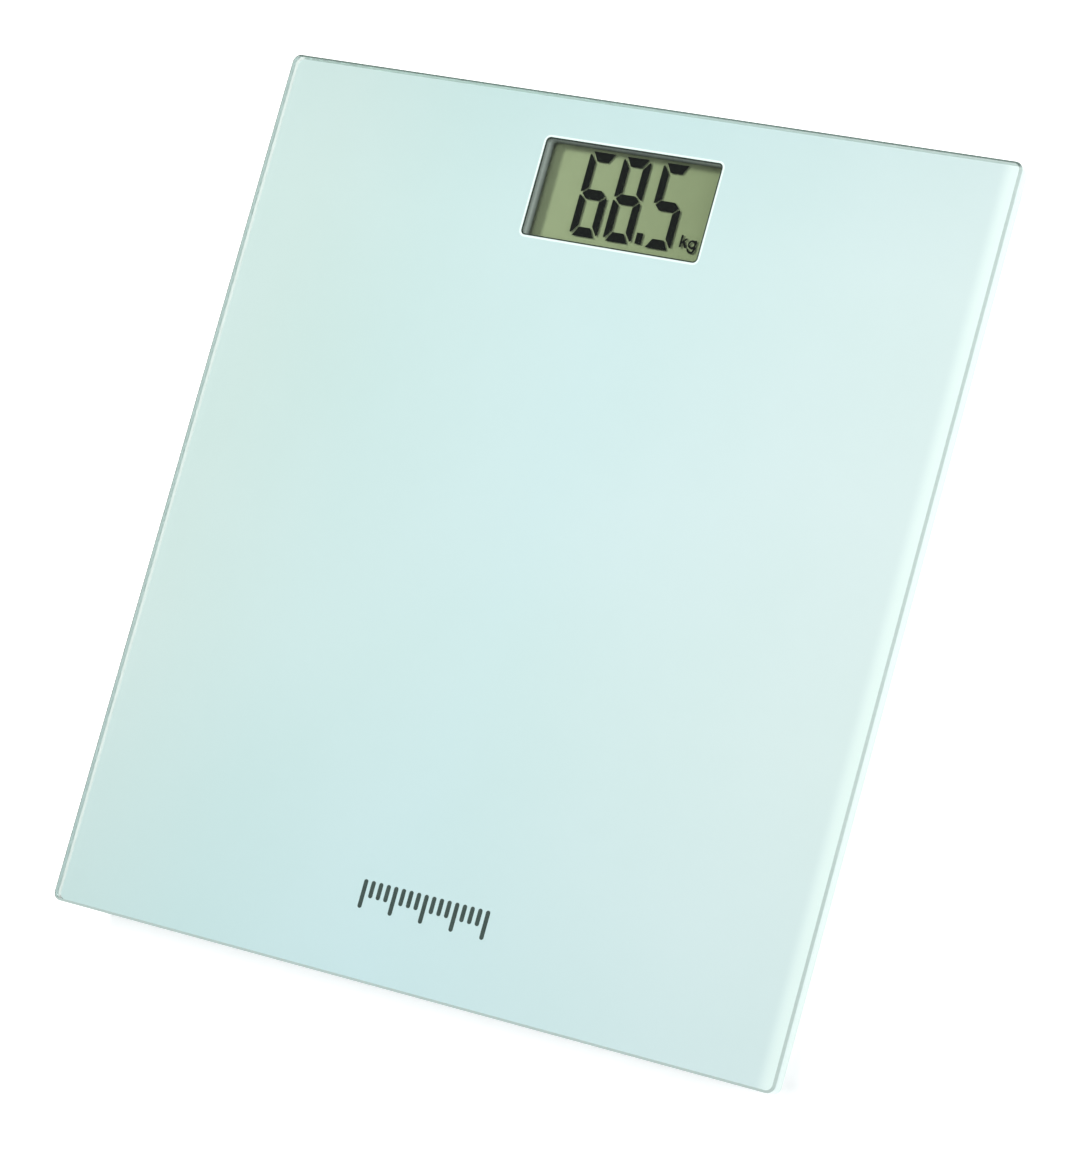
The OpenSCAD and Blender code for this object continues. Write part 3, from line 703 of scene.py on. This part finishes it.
# ---------------------------------------------------------------------------
# Behind the display: two foam cushions press it up against the bezel, and a strip
# of silicone, layered with conducting carbon, joins its ledge to the board.
# ---------------------------------------------------------------------------
def foam(name, colour, cell_mm):
    """A closed-cell foam: a dead matt skin pitted with the cells that its cut opened, their hollows
    darkened by painted shade.
    """
    foam_sheet = new_material(name)
    place = add_node(foam_sheet, "ShaderNodeTexCoord")
    cells = add_node(
        foam_sheet, "ShaderNodeTexVoronoi", {"Scale": 1000.0 / cell_mm}, {"Vector": place.outputs["Object"]}
    )
    shade = linear(colour)
    # painted shade: the cells' hollows are darker
    pit = (*(0.7 * c for c in shade[:3]), 1)
    tone = add_node(
        foam_sheet, "ShaderNodeMix", {"data_type": "RGBA", 6: pit, 7: shade}, {0: cells.outputs["Distance"]}
    )
    bumps = add_node(
        foam_sheet,
        "ShaderNodeBump",
        {"Strength": 0.6, "Distance": 0.1 * MM},
        {"Height": cells.outputs["Distance"]},
    )
    shader = add_node(
        foam_sheet,
        "ShaderNodeBsdfPrincipled",
        {"Roughness": 0.92},
        {"Base Color": tone.outputs[2], "Normal": bumps.outputs["Normal"]},
    )
    add_node(foam_sheet, "ShaderNodeOutputMaterial", links={"Surface": shader.outputs[0]})
    return foam_sheet


clad("display_cushion", foam("polyurethane foam, display cushion", "#3C3E40", 0.5))
zebra = new_material("silicone layered with carbon")
zebra_place = add_node(zebra, "ShaderNodeTexCoord")
layer_mm = 0.5
zebra_layers = add_node(
    zebra,
    "ShaderNodeTexWave",
    {"wave_type": "BANDS", "bands_direction": "X", "Scale": math.pi / (10 * layer_mm * MM)},
    {"Vector": zebra_place.outputs["Object"]},
)
zebra_tone = add_node(
    zebra,
    "ShaderNodeMix",
    {"data_type": "RGBA", 6: linear("#D893A0"), 7: linear("#3A3436")},
    {0: zebra_layers.outputs["Fac"]},
)
zebra_shader = add_node(
    zebra, "ShaderNodeBsdfPrincipled", {"Roughness": 0.55}, {"Base Color": zebra_tone.outputs[2]}
)
add_node(zebra, "ShaderNodeOutputMaterial", links={"Surface": zebra_shader.outputs[0]})
clad("contact_strip", zebra)

# ---------------------------------------------------------------------------
# What bonds the glass: die-cut closed-cell foam tape on the tray's rim and posts,
# and a black foam gasket that keeps stray light out of the display window.
# ---------------------------------------------------------------------------
clad("mounting_tape", foam("polyethylene foam tape", "#ECEEED", 0.4))
clad("window_gasket", foam("polyurethane foam gasket", "#2A2F2C", 0.4))


# ---------------------------------------------------------------------------
# Backing print: aqua enamel screened on the glass's back, with painted light and shade in its tone, and
# left open at the display window, ruled round with a pale line outside a thin line of painted shadow.
# ---------------------------------------------------------------------------
def rounded_sheet(name, low, high, radius, steps=8):
    """A thin sheet between two corners, with round upright corners."""
    bpy.ops.object.select_all(action="DESELECT")
    size = [b - a for a, b in zip(low, high)]
    middle = [(a + b) / 2 for a, b in zip(low, high)]
    bpy.ops.mesh.primitive_cube_add(size=1, location=middle, scale=size)
    sheet = bpy.context.object
    sheet.name = name
    bpy.ops.object.transform_apply(location=True, rotation=True, scale=True)
    bpy.ops.object.mode_set(mode="EDIT")
    bpy.ops.mesh.select_mode(type="EDGE")
    bpy.ops.mesh.select_all(action="DESELECT")
    bpy.ops.object.mode_set(mode="OBJECT")
    for edge in sheet.data.edges:
        a, b = (sheet.data.vertices[i].co for i in edge.vertices)
        edge.select = abs(a.z - b.z) > size[2] / 2
    bpy.ops.object.mode_set(mode="EDIT")
    bpy.ops.mesh.bevel(offset=radius, offset_type="OFFSET", segments=steps, affect="EDGES")
    bpy.ops.object.mode_set(mode="OBJECT")
    return sheet


def cut_away(sheet, cutter):
    """Cuts one sheet's shape out of another and removes the cutter."""
    bpy.ops.object.select_all(action="DESELECT")
    bpy.context.view_layer.objects.active = sheet
    hole = sheet.modifiers.new("opening", "BOOLEAN")
    hole.operation = "DIFFERENCE"
    hole.solver = "EXACT"
    hole.object = cutter
    bpy.ops.object.modifier_apply(modifier=hole.name)
    bpy.data.objects.remove(cutter, do_unlink=True)


back_low, back_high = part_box("backing_film")
window_w, window_d = 68 * MM, 34 * MM
window_r = 1.7 * MM
window_y = (film_low[1] + film_high[1]) / 2
ink_sink = 0.03 * MM
ink_top = back_high[2] + ink_sink


def window_sheet(name, margin, low_z, high_z):
    """A sheet of the window's outline, grown by a margin."""
    return rounded_sheet(
        name,
        (-window_w / 2 - margin, window_y - window_d / 2 - margin, low_z),
        (window_w / 2 + margin, window_y + window_d / 2 + margin, high_z),
        window_r + margin,
    )


glass_low, glass_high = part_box("glass_platform")
print_grow = 0.1 * MM
print_margin = back_low[0] - glass_low[0] - print_grow
print_r = 2.2 * MM
backing = rounded_sheet(
    "printed_backing",
    (glass_low[0] + print_margin, glass_low[1] + print_margin, back_low[2]),
    (glass_high[0] - print_margin, glass_high[1] - print_margin, ink_top),
    print_r,
)
cut_away(backing, window_sheet("window_cutter", 0, back_low[2] - MM, ink_top + MM))
aqua_ink = new_material("screen-printed aqua enamel")
ink_place = add_node(aqua_ink, "ShaderNodeTexCoord")
ink_axes = add_node(aqua_ink, "ShaderNodeSeparateXYZ", links={0: ink_place.outputs["Object"]})
# painted light: the print's tone drifts lighter from left to right, along a line that is turned a little
# from the x axis
ink_skew = -0.1
ink_slope = add_node(
    aqua_ink,
    "ShaderNodeMath",
    {"operation": "MULTIPLY_ADD", 1: ink_skew},
    {0: ink_axes.outputs["Y"], 2: ink_axes.outputs["X"]},
)
ink_reach = 185 * MM
ink_light_spread = add_node(
    aqua_ink,
    "ShaderNodeMapRange",
    {"From Min": -ink_reach, "From Max": ink_reach},
    {"Value": ink_slope.outputs[0]},
)
ink_painted_light = add_node(aqua_ink, "ShaderNodeValToRGB", links={0: ink_light_spread.outputs[0]})
ink_painted_light.color_ramp.elements[0].position = 0.15
ink_painted_light.color_ramp.elements[0].color = linear("#BFCCCD")
ink_painted_light.color_ramp.elements[1].color = linear("#CED5D8")
ink_left = ink_painted_light.color_ramp.elements.new(0.3)
ink_left.color = linear("#BECED1")
ink_middle = ink_painted_light.color_ramp.elements.new(0.5)
ink_middle.color = linear("#C1D1D6")
# painted shade: it is slightly darker at the near and far ends of the glass
ink_length = add_node(
    aqua_ink,
    "ShaderNodeMapRange",
    {"From Min": glass_low[1], "From Max": glass_high[1]},
    {"Value": ink_axes.outputs["Y"]},
)
ink_painted_end_shade = add_node(aqua_ink, "ShaderNodeValToRGB", links={0: ink_length.outputs[0]})
ink_painted_end_shade.color_ramp.elements[0].color = linear("#F7FBFD")
ink_painted_end_shade.color_ramp.elements[1].color = linear("#F8FAFA")
ink_near = ink_painted_end_shade.color_ramp.elements.new(0.35)
ink_near.color = linear("#FFFFFF")
ink_far = ink_painted_end_shade.color_ramp.elements.new(0.85)
ink_far.color = linear("#FFFFFF")
ink_with_painted_shade = add_node(
    aqua_ink,
    "ShaderNodeMix",
    {"data_type": "RGBA", "blend_type": "MULTIPLY", 0: 1.0},
    {6: ink_painted_light.outputs["Color"], 7: ink_painted_end_shade.outputs["Color"]},
)
# painted light: its last few millimetres on the right are paler, standing in for the light that comes in
# through the ground edge
glow_from, glow_to = 9 * MM, 4 * MM
painted_edge_glow = add_node(
    aqua_ink,
    "ShaderNodeMapRange",
    {
        "interpolation_type": "SMOOTHSTEP",
        "From Min": glass_high[0] - glow_from,
        "From Max": glass_high[0] - glow_to,
        "To Max": 0.6,
    },
    {"Value": ink_axes.outputs["X"]},
)
ink_painted_lit = add_node(
    aqua_ink,
    "ShaderNodeMix",
    {"data_type": "RGBA", 7: linear("#E2EAEA")},
    {0: painted_edge_glow.outputs[0], 6: ink_with_painted_shade.outputs[2]},
)
cloud_mm = 111
ink_cloud = add_node(
    aqua_ink,
    "ShaderNodeTexNoise",
    {"Scale": 1000.0 / cloud_mm, "Detail": 3.0},
    {"Vector": ink_place.outputs["Object"]},
)
ink_tone = add_node(
    aqua_ink,
    "ShaderNodeMix",
    {"data_type": "RGBA", "blend_type": "MULTIPLY", 7: linear("#F3F9F5")},
    {0: ink_cloud.outputs["Fac"], 6: ink_painted_lit.outputs[2]},
)
ink_shader = add_node(
    aqua_ink, "ShaderNodeBsdfPrincipled", {"Roughness": 0.6}, {"Base Color": ink_tone.outputs[2]}
)
add_node(aqua_ink, "ShaderNodeOutputMaterial", links={"Surface": ink_shader.outputs[0]})
backing.data.materials.append(aqua_ink)
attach(backing, "platform")
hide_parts("backing_film")


def screened_enamel(name, dark, light, roughness):
    """A flat coat of enamel, with the screen's faint grain drawn coarser than it is, so that it shows."""
    enamel = new_material(name)
    grain_mm = 2 / 3
    place = add_node(enamel, "ShaderNodeTexCoord")
    grain = add_node(
        enamel,
        "ShaderNodeTexNoise",
        {"Scale": 1000.0 / grain_mm, "Detail": 2.0},
        {"Vector": place.outputs["Object"]},
    )
    tone = add_node(
        enamel,
        "ShaderNodeMix",
        {"data_type": "RGBA", 6: linear(dark), 7: linear(light)},
        {0: grain.outputs["Fac"]},
    )
    shader = add_node(
        enamel, "ShaderNodeBsdfPrincipled", {"Roughness": roughness}, {"Base Color": tone.outputs[2]}
    )
    add_node(enamel, "ShaderNodeOutputMaterial", links={"Surface": shader.outputs[0]})
    return enamel


# the window's border: a pale line coated over the aqua's edge
white_line_w = 0.7 * MM
coat_low, coat_high = ink_top - 0.01 * MM, ink_top + 0.02 * MM
white_line = window_sheet("window_border_line", white_line_w, coat_low, coat_high)
cut_away(white_line, window_sheet("line_cutter", 0, coat_low - MM, coat_high + MM))
white_ink = screened_enamel("screen-printed white enamel", "#DAE6E4", "#E0EBE9", 0.6)
white_line.data.materials.append(white_ink)
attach(white_line, "platform")

# painted shadow: a thin, nearly black line inside the pale one stands in for the shade at the window's cut
# edge
shadow_line_w = 0.45 * MM
painted_shadow_line = window_sheet("painted_window_shadow", 0, back_low[2] + 0.01 * MM, ink_top)
cut_away(painted_shadow_line, window_sheet("hair_cutter", -shadow_line_w, back_low[2] - MM, coat_high + MM))
painted_shadow_ink = screened_enamel("painted window-edge shadow", "#1C231F", "#262E29", 0.6)
painted_shadow_line.data.materials.append(painted_shadow_ink)
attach(painted_shadow_line, "platform")

# ---------------------------------------------------------------------------
# Mark: a small row of graduation ticks in grey-green enamel near the near edge,
# every fourth one longer, screened on the glass before the aqua.
# ---------------------------------------------------------------------------
mark_w, mark_h, mark_y = 49 * MM, 9.6 * MM, -122 * MM
tick_count, long_every = 17, 4
tick_w, short_h = 1.6 * MM, 0.6 * mark_h
tick_r = 0.45 * tick_w
tick_pitch = (mark_w - tick_w) / (tick_count - 1)
ticks = []
for index in range(tick_count):
    reach = mark_h if index % long_every == 0 else short_h
    x = -mark_w / 2 + tick_w / 2 + index * tick_pitch
    ticks.append(
        rounded_sheet(
            "tick_%d" % index,
            (x - tick_w / 2, mark_y + mark_h / 2 - reach, coat_low),
            (x + tick_w / 2, mark_y + mark_h / 2, coat_high),
            tick_r,
            steps=4,
        )
    )
bpy.ops.object.select_all(action="DESELECT")
for tick in ticks:
    tick.select_set(True)
bpy.context.view_layer.objects.active = ticks[0]
bpy.ops.object.join()
mark = bpy.context.object
mark.name = "graduation_mark"
grey_ink = screened_enamel("screen-printed grey-green enamel", "#2F3B38", "#384541", 0.5)
mark.data.materials.append(grey_ink)
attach(mark, "platform")

# ---------------------------------------------------------------------------
# Label: a silver polyester sticker in a shallow recess under the tray, printed
# with a plain ruled frame and no lettering.
# ---------------------------------------------------------------------------
clad("rating_label", plated_steel("metallised polyester, label", "#CDD0D3", 0.38, 0.15))
label_low, label_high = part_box("rating_label")
rule_w = 0.4 * MM
rule_top = label_low[2] + 0.01 * MM
rule_low = label_low[2] - 0.02 * MM
frame_margin = 2.5 * MM
frame_low = (label_low[0] + frame_margin, label_low[1] + frame_margin)
frame_high = (label_high[0] - frame_margin, label_high[1] - frame_margin)
rule_outer_r, rule_inner_r = 1 * MM, 0.6 * MM
rules = rounded_sheet(
    "label_rules", (*frame_low, rule_low), (*frame_high, rule_top), rule_outer_r, steps=4
)
row_count = 4
row_h = (frame_high[1] - frame_low[1] - rule_w) / row_count
for row in range(row_count):
    y = frame_low[1] + row * row_h
    cut_away(
        rules,
        rounded_sheet(
            "row_cutter",
            (frame_low[0] + rule_w, y + rule_w, rule_low - MM),
            (frame_high[0] - rule_w, y + row_h, rule_top + MM),
            rule_inner_r,
            steps=4,
        ),
    )
rules.data.materials.append(grey_ink)
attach(rules, "platform")

# ---------------------------------------------------------------------------
# Glass platform: 6 mm tempered float glass, faintly green in its depth from iron; its edge is ground to
# a satin finish and its arrises are left as ground, dull grey, with painted shade on the left and far
# sides.
# ---------------------------------------------------------------------------
float_glass = new_material("tempered float glass, ground edge")
glass_place = add_node(float_glass, "ShaderNodeTexCoord")
glass_facing = add_node(float_glass, "ShaderNodeSeparateXYZ", links={0: glass_place.outputs["Normal"]})
facing_up = add_node(
    float_glass, "ShaderNodeMath", {"operation": "ABSOLUTE"}, {0: glass_facing.outputs["Z"]}
)
# an arris lies at 45 degrees, so its normal's height is 0.7, and that of an upright edge face is 0
on_arris = add_node(
    float_glass, "ShaderNodeMath", {"operation": "COMPARE", 1: 0.7, 2: 0.22}, {0: facing_up.outputs[0]}
)
on_edge = add_node(
    float_glass, "ShaderNodeMath", {"operation": "LESS_THAN", 1: 0.3}, {0: facing_up.outputs[0]}
)
# how much of the ground skin shows: on the edge a trace from outside and half from inside, and
# on the arrises most of it from either side
seen_inside = add_node(float_glass, "ShaderNodeNewGeometry").outputs["Backfacing"]
edge_cover = add_node(
    float_glass, "ShaderNodeMath", {"operation": "MULTIPLY_ADD", 1: 0.45, 2: 0.07}, {0: seen_inside}
)
edge_skin = add_node(
    float_glass,
    "ShaderNodeMath",
    {"operation": "MULTIPLY"},
    {0: on_edge.outputs[0], 1: edge_cover.outputs[0]},
)
arris_cover = add_node(
    float_glass, "ShaderNodeMath", {"operation": "MULTIPLY_ADD", 1: -0.15, 2: 0.85}, {0: seen_inside}
)
ground_skin = add_node(
    float_glass,
    "ShaderNodeMath",
    {"operation": "MULTIPLY_ADD"},
    {0: on_arris.outputs[0], 1: arris_cover.outputs[0], 2: edge_skin.outputs[0]},
)
edge_dulled = add_node(
    float_glass, "ShaderNodeMath", {"operation": "MULTIPLY", 1: 0.1}, {0: on_edge.outputs[0]}
)
glass_solid = add_node(
    float_glass,
    "ShaderNodeBsdfPrincipled",
    {"Base Color": linear("#FDFFFE"), "IOR": 1.52, "Transmission Weight": 1.0},
    {"Roughness": edge_dulled.outputs[0]},
)
# painted shade: the skin is dark on the left and far edge faces and the arrises above them, and pale on
# the others; a face that is seen from inside counts as facing the other way
painted_shade_side = add_node(
    float_glass,
    "ShaderNodeVectorMath",
    {"operation": "DOT_PRODUCT", 1: (-1, 1, 1)},
    {0: glass_place.outputs["Normal"]},
)
ground_painted_shade = add_node(float_glass, "ShaderNodeValToRGB", links={0: painted_shade_side.outputs["Value"]})
ground_painted_shade.color_ramp.elements[0].position = 0.3
ground_painted_shade.color_ramp.elements[0].color = linear("#B4C4C0")
ground_painted_shade.color_ramp.elements[1].position = 0.7
ground_painted_shade.color_ramp.elements[1].color = linear("#43554D")
ground_glass = add_node(
    float_glass, "ShaderNodeBsdfDiffuse", {"Roughness": 0.5}, {"Color": ground_painted_shade.outputs["Color"]}
)
glass_finish = add_node(
    float_glass,
    "ShaderNodeMixShader",
    links={0: ground_skin.outputs[0], 1: glass_solid.outputs[0], 2: ground_glass.outputs[0]},
)
glass_lit = let_lamps_through(float_glass, glass_finish, "#FDFFFE")
glass_body = add_node(
    float_glass, "ShaderNodeVolumeAbsorption", {"Color": linear("#7FD8C0"), "Density": 5.0}
)
add_node(
    float_glass,
    "ShaderNodeOutputMaterial",
    links={"Surface": glass_lit.outputs[0], "Volume": glass_body.outputs[0]},
)
clad("glass_platform", float_glass)
